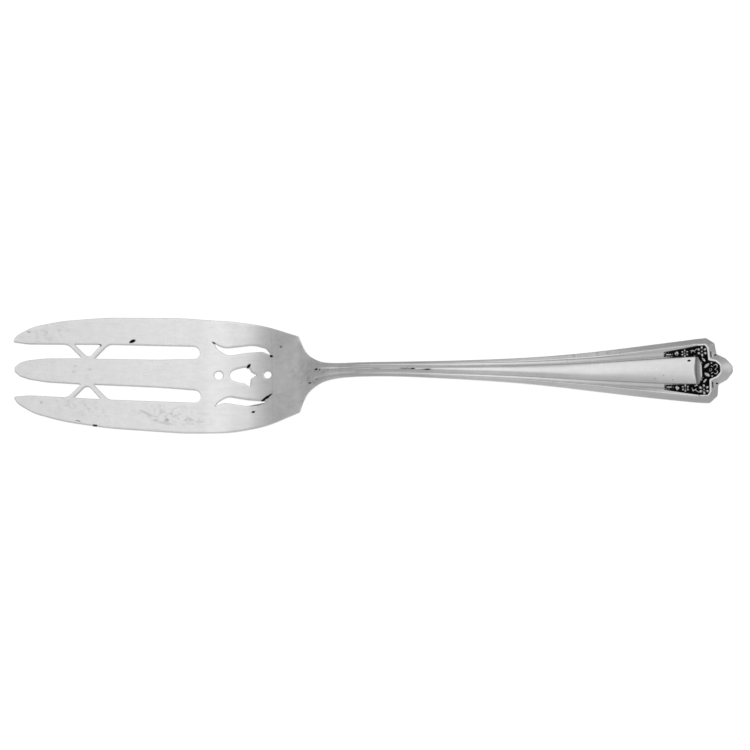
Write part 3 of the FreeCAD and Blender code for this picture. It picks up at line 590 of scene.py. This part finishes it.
def end_height(x, y, to_outline):
    """Height of the top above base_lift over the pointed end, and how dark the metal is there."""
    points = np.stack([x, y], 1)
    to_ridge = signed_distance(points, ridge_loop)
    slope = np.clip(to_outline / np.maximum(to_outline - to_ridge, 1e-6), 0, 1)
    pointed = END_SIDE + (END_RIDGE - END_SIDE) * np.where(to_ridge > 0, 1, slope)
    height = np.where(x > PANEL_REACH, pointed, soft_moulded_height(x, y))
    past_end = x - panel_end(y)
    stepped = ease(past_end / STEP_WIDTH) * (np.abs(y) < SHELL_HALF)
    shell = END_RIDGE - PANEL_STEP * (1 - ease(past_end / SHELL_RUN))
    height = height + (shell - height) * stepped * (to_ridge > 0)
    in_ground = ease(signed_distance(points, sunk_loop) / WALL_WIDTH)
    raised = relief(x, y)
    ground = END_RIDGE - SUNK_DEPTH + RELIEF_HEIGHT * raised
    height = height + (ground - height) * in_ground
    cut = cuts(x, y)
    grime = 0.3 + GRIME * np.sin(4.1 * x + 1.3 * np.sin(3.7 * y)) * np.sin(5.3 * y + 1.7 * np.sin(2.9 * x))
    dark = in_ground * (1 - ease((raised - grime) / 0.4))
    crease = CREASE_DIRT * np.exp(-(((past_end - STEP_WIDTH) / 0.25) ** 2)) * (np.abs(y) < SHELL_HALF - 0.2)
    border = BORDER_PATINA[0] * (to_ridge < 0) * ease((225 - x) / 3)
    dull = np.where(x < PANEL_REACH, handle_patina(x, y), border) * (1 - in_ground)
    # Painted shade: the shell at the panel's hollow end is darker at its foot and lighter towards the ridge
    shade = SHELL_PAINTED_SHADE * np.clip(1 - past_end / (SHELL_RUN * 1.2), 0, 1) * stepped
    lobe = LOBE_PATINA * ease((x - 223) / 2) * np.exp(-((y / 1.3) ** 2)) * (1 - in_ground)
    return height - CUT_DEPTH * cut, np.maximum.reduce([dark, ease(cut * 1.3), crease, dull, shade, lobe])


def lattice(x0, x1, y0, y1, step):
    """Points of a triangular lattice over a rectangle."""
    rows = []
    for j, y in enumerate(np.arange(y0, y1, step * 0.866)):
        xs = np.arange(x0 + (j % 2) * step / 2, x1, step)
        rows.append(np.stack([xs, np.full(len(xs), y)], 1))
    return np.concatenate(rows)


def inward_rings(loops, distances):
    """Points at set distances inside the outline, beside each of its own points."""
    rings = []
    for loop in loops:
        along = np.roll(loop, -1, axis=0) - np.roll(loop, 1, axis=0)
        side = np.stack([-along[:, 1], along[:, 0]], 1)
        side /= np.linalg.norm(side, axis=1)[:, None]
        probe = inside(loop + side * 0.02, all_starts, all_ends)
        side = np.where(probe[:, None], side, -side)
        for gap in distances:
            ring = loop + side * gap
            away = distance(ring, all_starts, all_ends)
            good = inside(ring, all_starts, all_ends) & (away > gap * 0.85)
            rings.append(ring[good])
    return rings


def moulding_rows(first, last, step, shares_per_zone):
    """Rows of points that follow the mouldings along the handle, and the runs that join them.

    The points are closer together in the throat, where a longer run would cut across the outline.
    """
    throat = np.arange(first, first + THROAT_RUN, THROAT_STEP)
    xs = np.concatenate([throat, np.arange(first + THROAT_RUN, last, step)])
    half = half_width(xs)
    ridge_share = 1 - np.minimum(BORDER_WIDTH / half, BORDER_SHARE)
    knots = [np.ones_like(xs), ridge_share] + [np.full_like(xs, s) for s in (
        GROOVE_SHARE, BAND_SHARE, PANEL_SHARE, 0)]
    rows = []
    for zone, fractions in enumerate(shares_per_zone):
        for fraction in fractions:
            share = knots[zone] + (knots[zone + 1] - knots[zone]) * fraction
            rows.append(share)
    rows = rows + [-row for row in reversed(rows[:-1])]
    points = [np.stack([xs, row * half], 1) for row in rows]
    runs = []
    for i in range(len(rows)):
        start = i * len(xs)
        runs += [(start + k, start + k + 1) for k in range(len(xs) - 1)]
    return np.concatenate(points), runs


def fill(points, runs):
    """Triangles over the fork's outline through all the points, with the runs kept as edges.

    The first points are the outline's. A region between its loops is kept or dropped as a whole, so
    that no sliver along an edge goes the wrong way.
    """
    found = delaunay_2d_cdt([Vector(p) for p in points], runs, [], 0, 1e-5)
    spots = np.array([tuple(v) for v in found[0]])
    faces = np.array(found[2])
    where = {}
    for i, origins in enumerate(found[3]):
        for origin in origins:
            where[origin] = i
    border = {tuple(sorted((where[a], where[b]))) for a, b in loop_runs(outline_loops)}
    a, b, c = (spots[faces[:, i]] for i in range(3))
    area = (b[:, 0] - a[:, 0]) * (c[:, 1] - a[:, 1]) - (b[:, 1] - a[:, 1]) * (c[:, 0] - a[:, 0])
    faces[area < 0] = faces[area < 0][:, ::-1]
    regions, outer = regions_within(faces, border)
    kept = np.zeros(len(faces), bool)
    for region in set(regions) - outer:
        members = np.flatnonzero(regions == region)
        largest = members[np.argmax(np.abs(area[members]))]
        kept[members] = inside(spots[faces[largest]].mean(0)[None], all_starts, all_ends)[0]
    return spots, faces[kept], where


def regions_within(faces, border):
    """A number for each triangle, shared by all that no border parts, and the numbers outside the fork.

    A triangle outside the fork reaches an edge that no second triangle shares and that is no border.
    """
    parent = list(range(len(faces)))

    def first(i):
        while parent[i] != i:
            parent[i] = parent[parent[i]]
            i = parent[i]
        return i

    waiting = {}
    for i, (a, b, c) in enumerate(faces.tolist()):
        for edge in ((a, b), (b, c), (c, a)):
            edge = tuple(sorted(edge))
            if edge in waiting:
                parent[first(i)] = first(waiting.pop(edge))
            elif edge not in border:
                waiting[edge] = i
    regions = np.array([first(i) for i in range(len(faces))])
    return regions, {regions[i] for i in waiting.values()}


def rounding(to_outline):
    """How far an edge has fallen away at a distance inside the outline."""
    t = np.clip(1 - to_outline / EDGE_RADIUS, 0, 1)
    return EDGE_RADIUS * (1 - np.sqrt(1 - t**2))


def edge_share(x):
    """The rounding's size: full on the blade and less on the thin sides of the handle."""
    return np.interp(x, (92, 104, PANEL_REACH), (1, 0.75, 0.6))


def loop_runs(loops):
    """Pairs of point numbers that join each loop's points, for loops whose points are numbered in turn."""
    runs, start = [], 0
    for loop in loops:
        count = len(loop)
        runs += [(start + i, start + (i + 1) % count) for i in range(count)]
        start += count
    return runs


def top_surface():
    """Points, triangles and darkness of the fork's upper side."""
    edge = np.concatenate(outline_loops)
    runs = loop_runs(outline_loops)
    rows, row_runs = moulding_rows(ROWS_FROM, PANEL_END - END_STEP, TOP_ROW_STEP, TOP_ROWS)
    kept = signed_distance(rows, sunk_loop) < -RELIEF_STEP
    new_place = np.cumsum(kept) - 1
    rows = rows[kept]
    row_runs = [(int(new_place[a]), int(new_place[b])) for a, b in row_runs if kept[a] and kept[b]]
    plate = lattice(0.5, ROWS_FROM, -BLADE_HALF, BLADE_HALF, BLADE_STEP)
    coarse = lattice(PANEL_END - 0.2, LENGTH, -END_HALF, END_HALF, END_STEP)
    fine = lattice(RELIEF_FROM, RELIEF_TO, -RELIEF_HALF, RELIEF_HALF, RELIEF_STEP)
    # The fine points are for the ornament, the cuts and the panel's hollow end alone
    in_sunk = signed_distance(fine, sunk_loop)
    at_cut = np.maximum.reduce([bar(*fine.T, r, side * o, n + 0.5, w + 0.5, side * d) > 0
                                for r, o, n, w, d in CUTS for side in (1, -1)])
    shell = (fine[:, 0] > PANEL_END - 0.3) & (np.abs(fine[:, 1]) < 4.5)
    fine = fine[(in_sunk > -0.25) | at_cut | (shell & (in_sunk < 0))]
    near_fine = signed_distance(coarse, sunk_loop) > -0.35
    coarse = coarse[~near_fine & ((coarse[:, 0] > 218) | (np.abs(coarse[:, 1]) > 4.4))]
    interior = np.concatenate([plate, coarse])
    away = distance(interior, all_starts, all_ends)
    margin = np.where(interior[:, 0] < ROWS_FROM, BLADE_MARGIN, END_MARGIN)
    interior = interior[inside(interior, all_starts, all_ends) & (away > margin)]
    rings = inward_rings(outline_loops, [EDGE_RADIUS * share for share in TOP_RINGS])
    rings = [r[(r[:, 0] < ROWS_FROM + 0.5) | (r[:, 0] > PANEL_END - END_STEP)] for r in rings]
    start = len(edge)
    points = np.concatenate([edge, rows, interior, fine] + rings)
    runs = runs + [(a + start, b + start) for a, b in row_runs]
    for line in (ridge_loop[ridge_loop[:, 0] > PANEL_END - END_STEP], sunk_loop):
        start = len(points)
        points = np.concatenate([points, line])
        gaps = np.linalg.norm(np.diff(line, axis=0), axis=1)
        runs += [(start + i, start + i + 1) for i in range(len(line) - 1) if gaps[i] < 1]
    spots, faces, where = fill(points, runs)
    to_outline = distance(spots, all_starts, all_ends)
    to_outline = np.where(inside(spots, all_starts, all_ends), to_outline, 0)
    x, y = spots.T
    height = np.where(x < 91.5, BLADE_THICKNESS, soft_moulded_height(x, y))
    dark = np.where(x > 100, handle_patina(x, y), 0)
    at_end = x > END_HEIGHT_FROM
    height[at_end], dark[at_end] = end_height(x[at_end], y[at_end], to_outline[at_end])
    # Painted shade: the blade's edges and the walls of its piercings are darkened
    dark = np.maximum(dark, np.where((x < 92) & (to_outline < 0.03), EDGE_PAINTED_SHADE, 0))
    height -= rounding(to_outline) * edge_share(x)
    z = base_lift(x) + height
    return spots, z, faces, where, dark


def underside_bow(x, y):
    """How far the underside curves up from the centre line to the sides."""
    bow = plate_or(bow_curve, 0, x)
    share = np.clip(np.abs(y) / half_width(x), 0, 1)
    return bow * share**2


def under_surface():
    """Points and triangles of the fork's plain underside."""
    edge = np.concatenate(outline_loops)
    runs = loop_runs(outline_loops)
    rows, row_runs = moulding_rows(UNDER_ROWS_FROM, PANEL_REACH, UNDER_ROW_STEP, UNDER_ROWS)
    interior = np.concatenate([
        lattice(0.5, UNDER_ROWS_FROM, -BLADE_HALF, BLADE_HALF, UNDER_BLADE_STEP),
        lattice(PANEL_REACH + 0.6, LENGTH, -END_HALF, END_HALF, UNDER_END_STEP),
    ])
    away = distance(interior, all_starts, all_ends)
    interior = interior[inside(interior, all_starts, all_ends) & (away > BLADE_MARGIN)]
    rings = inward_rings(outline_loops, [EDGE_RADIUS * share for share in UNDER_RINGS])
    rings = [r[(r[:, 0] < UNDER_ROWS_FROM) | (r[:, 0] > PANEL_REACH)] for r in rings]
    start = len(edge)
    points = np.concatenate([edge, rows, interior] + rings)
    runs = runs + [(a + start, b + start) for a, b in row_runs]
    spots, faces, where = fill(points, runs)
    to_outline = distance(spots, all_starts, all_ends)
    to_outline = np.where(inside(spots, all_starts, all_ends), to_outline, 0)
    x, y = spots.T
    z = base_lift(x) + underside_bow(x, y) + rounding(to_outline) * edge_share(x)
    return spots, z, faces[:, ::-1], where


def make_fork():
    """The whole fork as one closed mesh."""
    top, top_z, top_faces, top_where, dark = top_surface()
    under, under_z, under_faces, under_where = under_surface()
    middle = LENGTH / 2
    points = np.concatenate([np.column_stack([top, top_z]), np.column_stack([under, under_z])])
    points[:, 1] += LOBE_LEAN * ease((points[:, 0] - LEAN_START) / LEAN_RUN)
    points[:, 0] -= middle + END_SKEW * points[:, 1] * ease((points[:, 0] - SKEW_START) / SKEW_RUN)
    faces = [tuple(f) for f in top_faces] + [tuple(f + len(top)) for f in under_faces]
    for a, b in loop_runs(outline_loops):
        faces.append((top_where[a], top_where[b], under_where[b] + len(top), under_where[a] + len(top)))
    mesh = bpy.data.meshes.new("fork")
    mesh.from_pydata((points * MM).tolist(), [], faces)
    mesh.polygons.foreach_set("use_smooth", [True] * len(mesh.polygons))
    # The underside carries painted shade: its colour is darkened evenly all over
    darkness = np.concatenate([dark, np.full(len(under), UNDERSIDE_PAINTED_SHADE)])
    attribute = mesh.attributes.new("patina_and_painted_shade", "FLOAT", "POINT")
    attribute.data.foreach_set("value", darkness.astype(np.float32))
    mesh.update()
    mesh.validate()
    fork = bpy.data.objects.new("fork", mesh)
    bpy.context.scene.collection.objects.link(fork)
    work = bmesh.new()
    work.from_mesh(mesh)
    bmesh.ops.recalc_face_normals(work, faces=work.faces)
    work.to_mesh(mesh)
    work.free()
    return fork


def node(tree, kind, **settings):
    """A new shader node with its own settings."""
    made = tree.nodes.new(kind)
    for name, setting in settings.items():
        setattr(made, name, setting)
    return made


def stretched_noise(tree, place, scale, detail, stretch=(1, 1, 1), degrees=0):
    """Noise over the fork, from its own coordinates stretched and turned."""
    mapping = node(tree, "ShaderNodeMapping")
    mapping.inputs["Scale"].default_value = stretch
    mapping.inputs["Rotation"].default_value = (0, 0, math.radians(degrees))
    tree.links.new(place, mapping.inputs["Vector"])
    noise = node(tree, "ShaderNodeTexNoise")
    noise.inputs["Scale"].default_value = scale
    noise.inputs["Detail"].default_value = detail
    tree.links.new(mapping.outputs["Vector"], noise.inputs["Vector"])
    return noise.outputs["Fac"]


def ranged(tree, value, low, high, to_low, to_high):
    """A value's range from low to high stretched to another one and held at its ends."""
    made = node(tree, "ShaderNodeMapRange")
    for name, setting in zip(("From Min", "From Max", "To Min", "To Max"), (low, high, to_low, to_high)):
        made.inputs[name].default_value = setting
    tree.links.new(value, made.inputs["Value"])
    return made.outputs["Result"]


def combined(tree, operation, first, second):
    """Two values, or a value and a constant, put through a sum."""
    made = node(tree, "ShaderNodeMath", operation=operation)
    for socket, value in zip(made.inputs, (first, second)):
        if isinstance(value, (int, float)):
            socket.default_value = value
        else:
            tree.links.new(value, socket)
    return made.outputs["Value"]


def spot_darkness(tree, place, spot, soft_from, soft_to):
    """How dark one spot makes the metal at a place: all of it within soft_from of the spot's half sizes."""
    reach, out, length, width, degrees, strength = spot
    mapping = node(tree, "ShaderNodeMapping", vector_type="TEXTURE")
    mapping.inputs["Location"].default_value = ((reach - LENGTH / 2) * MM, out * MM, 0)
    mapping.inputs["Rotation"].default_value = (0, 0, math.radians(degrees))
    mapping.inputs["Scale"].default_value = (length / 2 * MM, width / 2 * MM, 1)
    tree.links.new(place, mapping.inputs["Vector"])
    away = node(tree, "ShaderNodeVectorMath", operation="LENGTH")
    tree.links.new(mapping.outputs["Vector"], away.inputs[0])
    return ranged(tree, away.outputs["Value"], soft_from, soft_to, strength, 0)


def darkest(tree, place, spots, soft_from, soft_to):
    """How dark the darkest of the spots makes the metal at a place."""
    dark = 0
    for spot in spots:
        dark = combined(tree, "MAXIMUM", dark, spot_darkness(tree, place, spot, soft_from, soft_to))
    return dark


def along_fork(tree, place, start, end, at_start, at_end):
    """A value that changes between two reaches along the fork and stays the same beyond them."""
    parts = node(tree, "ShaderNodeSeparateXYZ")
    tree.links.new(place, parts.inputs["Vector"])
    low, high = (start - LENGTH / 2) * MM, (end - LENGTH / 2) * MM
    return ranged(tree, parts.outputs["X"], low, high, at_start, at_end)


def ragged_place(tree, place):
    """The place moved a little by noise, so that the spots' edges are ragged."""
    jitter = node(tree, "ShaderNodeTexNoise")
    jitter.inputs["Scale"].default_value = 900
    tree.links.new(place, jitter.inputs["Vector"])
    scaled = node(tree, "ShaderNodeVectorMath", operation="SCALE")
    scaled.inputs["Scale"].default_value = RAGGEDNESS * MM
    tree.links.new(jitter.outputs["Color"], scaled.inputs[0])
    centred = node(tree, "ShaderNodeVectorMath", operation="SUBTRACT")
    centred.inputs[1].default_value = [RAGGEDNESS / 2 * MM] * 3
    tree.links.new(scaled.outputs["Vector"], centred.inputs[0])
    wavy = node(tree, "ShaderNodeVectorMath", operation="ADD")
    tree.links.new(place, wavy.inputs[0])
    tree.links.new(centred.outputs["Vector"], wavy.inputs[1])
    return wavy.outputs["Vector"]


def dirt_and_painted_shade(tree, place):
    """Spots and smudges on the upper side, among them a painted shade line across the heel's bend, and the
    darkness that the mesh carries: blackened ground and cuts, dirt and patina, and painted shade on the
    edges, the underside and the shell at the panel's hollow end.
    """
    spots = darkest(tree, ragged_place(tree, place), SPOTS, 0.9, 1.4)
    smudged = darkest(tree, place, SMUDGED, 0.2, 1)
    blots = ranged(tree, stretched_noise(tree, place, 850, 4, (0.8, 1, 1)), 0.5, 0.72, 0, 1)
    dirt_and_shade_line = combined(tree, "MAXIMUM", spots, combined(tree, "MULTIPLY", smudged, blots))
    facing = node(tree, "ShaderNodeSeparateXYZ")
    tree.links.new(node(tree, "ShaderNodeNewGeometry").outputs["Normal"], facing.inputs["Vector"])
    not_under = ranged(tree, facing.outputs["Z"], -0.5, -0.2, 0, 1)
    dirt_and_shade_line = combined(tree, "MULTIPLY", dirt_and_shade_line, not_under)
    # The mesh's darkness: blackened ground, patina and dirt, and painted shade on the edges, the underside
    # and the shell
    ground = node(tree, "ShaderNodeAttribute", attribute_name="patina_and_painted_shade").outputs["Fac"]
    return combined(tree, "MAXIMUM", dirt_and_shade_line, ground)


def silver_material():
    """Polished silver-coloured metal, brushed by use, hazed, spotted and blackened in the ornament, with
    painted shade on its edges, its underside, the shell at the panel's hollow end and across the heel's
    bend.
    """
    material = bpy.data.materials.new("silver")
    material.use_nodes = True
    tree = material.node_tree
    links = tree.links
    shader = tree.nodes["Principled BSDF"]
    shader.inputs["Metallic"].default_value = 1
    place = node(tree, "ShaderNodeTexCoord").outputs["Object"]
    haze = stretched_noise(tree, place, 90, 3)
    mottle = stretched_noise(tree, place, 420, 4)
    grain = stretched_noise(tree, place, 1500, 3, (1, 0.6, 1))
    brushing = stretched_noise(tree, place, 1100, 3, (0.05, 1, 1))
    scratches = [stretched_noise(tree, place, 700, 2, (0.04, 1.6, 1), turn) for turn in (8, -17, 40, 71)]
    scuffs = ranged(tree, scratches[0], 0.68, 0.76, 0, 1)
    for scratch in scratches[1:]:
        scuffs = combined(tree, "MAXIMUM", scuffs, ranged(tree, scratch, 0.7, 0.78, 0, 1))

    heel_start = along_fork(tree, place, *HEEL_TARNISH_START, 0, 1)
    heel_end = along_fork(tree, place, *HEEL_TARNISH_END, 1, 0)
    tarnish = combined(tree, "MULTIPLY", combined(tree, "MULTIPLY", heel_start, heel_end),
                       ranged(tree, mottle, 0.35, 0.7, 0, HEEL_TARNISH))

    tone = ranged(tree, haze, 0.3, 0.7, *TONE_RANGE)
    for layer, low, high in ((mottle, 0.97, 1.02), (grain, 0.98, 1.02), (brushing, 0.975, 1.02)):
        tone = combined(tree, "MULTIPLY", tone, ranged(tree, layer, 0.3, 0.7, low, high))
    # The tines darker towards their tips
    tone = combined(tree, "MULTIPLY", tone, along_fork(tree, place, 0, TIPS_DARKER_TO, TIPS_TONE, 1))
    tone = combined(tree, "MULTIPLY", tone, along_fork(tree, place, *END_DULL, 1, END_TONE))
    tone = combined(tree, "SUBTRACT", tone, tarnish)
    tone = combined(tree, "SUBTRACT", tone, combined(tree, "MULTIPLY", scuffs, SCRATCH_DARKNESS))

    dark = dirt_and_painted_shade(tree, place)
    colour = node(tree, "ShaderNodeMix", data_type="RGBA")
    links.new(dark, colour.inputs["Factor"])
    links.new(tone, colour.inputs["A"])
    colour.inputs["B"].default_value = BLACK_GROUND
    links.new(colour.outputs["Result"], shader.inputs["Base Color"])
    roughness = ranged(tree, haze, 0.3, 0.7, *ROUGHNESS_RANGE)
    roughness = combined(tree, "ADD", roughness, combined(tree, "MULTIPLY", dark, 0.3))
    roughness = combined(tree, "ADD", roughness, combined(tree, "MULTIPLY", tarnish, 0.8))
    links.new(roughness, shader.inputs["Roughness"])

    unevenness = combined(tree, "MULTIPLY", brushing, 0.3)
    unevenness = combined(tree, "ADD", unevenness, combined(tree, "MULTIPLY", grain, 0.5))
    unevenness = combined(tree, "SUBTRACT", unevenness, combined(tree, "MULTIPLY", scuffs, 0.5))
    bump = node(tree, "ShaderNodeBump")
    bump.inputs["Strength"].default_value = 0.15
    bump.inputs["Distance"].default_value = 0.02 * MM
    links.new(unevenness, bump.inputs["Height"])
    links.new(bump.outputs["Normal"], shader.inputs["Normal"])
    return material


def make_floor():
    """A plain ground, white to the camera, that keeps a soft shadow and reflects dimly in the metal."""
    mesh = bpy.data.meshes.new("floor")
    corners = [(x * FLOOR_REACH, y * FLOOR_REACH, 0) for x, y in ((-1, -1), (1, -1), (1, 1), (-1, 1))]
    mesh.from_pydata(corners, [], [(0, 1, 2, 3)])
    floor = bpy.data.objects.new("floor", mesh)
    floor.location.z = -FLOOR_GAP * MM
    bpy.context.scene.collection.objects.link(floor)
    material = bpy.data.materials.new("floor")
    material.use_nodes = True
    tree = material.node_tree
    links = tree.links
    shader = tree.nodes["Principled BSDF"]
    shader.inputs["Base Color"].default_value = FLOOR_GREY
    shader.inputs["Roughness"].default_value = 0.9
    shader.inputs["Specular IOR Level"].default_value = 0
    glow = node(tree, "ShaderNodeEmission")
    rays = node(tree, "ShaderNodeLightPath").outputs
    seen = combined(tree, "MAXIMUM", rays["Is Camera Ray"], rays["Is Glossy Ray"])
    links.new(ranged(tree, seen, 0, 1, FLOOR_GLOW, FLOOR_GLOW_SEEN), glow.inputs["Strength"])
    both = node(tree, "ShaderNodeAddShader")
    links.new(shader.outputs[0], both.inputs[0])
    links.new(glow.outputs[0], both.inputs[1])
    links.new(both.outputs[0], tree.nodes["Material Output"].inputs["Surface"])
    mesh.materials.append(material)


def light_scene():
    """A large soft light overhead, and a grey room that darkens downwards and is lighter in front."""
    world = bpy.data.worlds.new("room")
    bpy.context.scene.world = world
    world.use_nodes = True
    tree = world.node_tree
    height = node(tree, "ShaderNodeSeparateXYZ")
    tree.links.new(node(tree, "ShaderNodeTexCoord").outputs["Generated"], height.inputs["Vector"])
    level = ranged(tree, height.outputs["Z"], 0, 1, ROOM_LOW, ROOM_HIGH)
    in_front = ranged(tree, height.outputs["Y"], -0.6, 0, ROOM_FRONT, 0)
    tree.links.new(combined(tree, "ADD", level, in_front), tree.nodes["Background"].inputs["Color"])
    lamp = bpy.data.lights.new("overhead", "AREA")
    lamp.shape = "RECTANGLE"
    lamp.size, lamp.size_y = LAMP_SIZE
    lamp.energy = LAMP_POWER
    holder = bpy.data.objects.new("overhead", lamp)
    holder.location = LAMP_PLACE
    holder.rotation_euler = (Vector((0, 0, 0)) - holder.location).to_track_quat("-Z", "Y").to_euler()
    bpy.context.scene.collection.objects.link(holder)


def make_camera():
    """Looking down from a little in front, as the photograph does."""
    data = bpy.data.cameras.new("camera")
    data.lens = data.sensor_width * CAMERA_AWAY / (SEEN_WIDTH * MM)
    camera = bpy.data.objects.new("camera", data)
    rotation = Matrix.Rotation(CAMERA_TILT, 3, "X") @ Matrix.Rotation(CAMERA_TURN, 3, "Z")
    camera.rotation_euler = rotation.to_euler()
    camera.location = Vector(CAMERA_TARGET) * MM + rotation @ Vector((0, 0, CAMERA_AWAY))
    data.clip_start, data.clip_end = 0.05, 20
    bpy.context.scene.collection.objects.link(camera)
    bpy.context.scene.camera = camera


bpy.context.scene.view_settings.view_transform = "Standard"
make_camera()
light_scene()
make_floor()
fork = make_fork()
fork.data.materials.append(silver_material())
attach(fork, "root")
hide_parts("cake_fork")
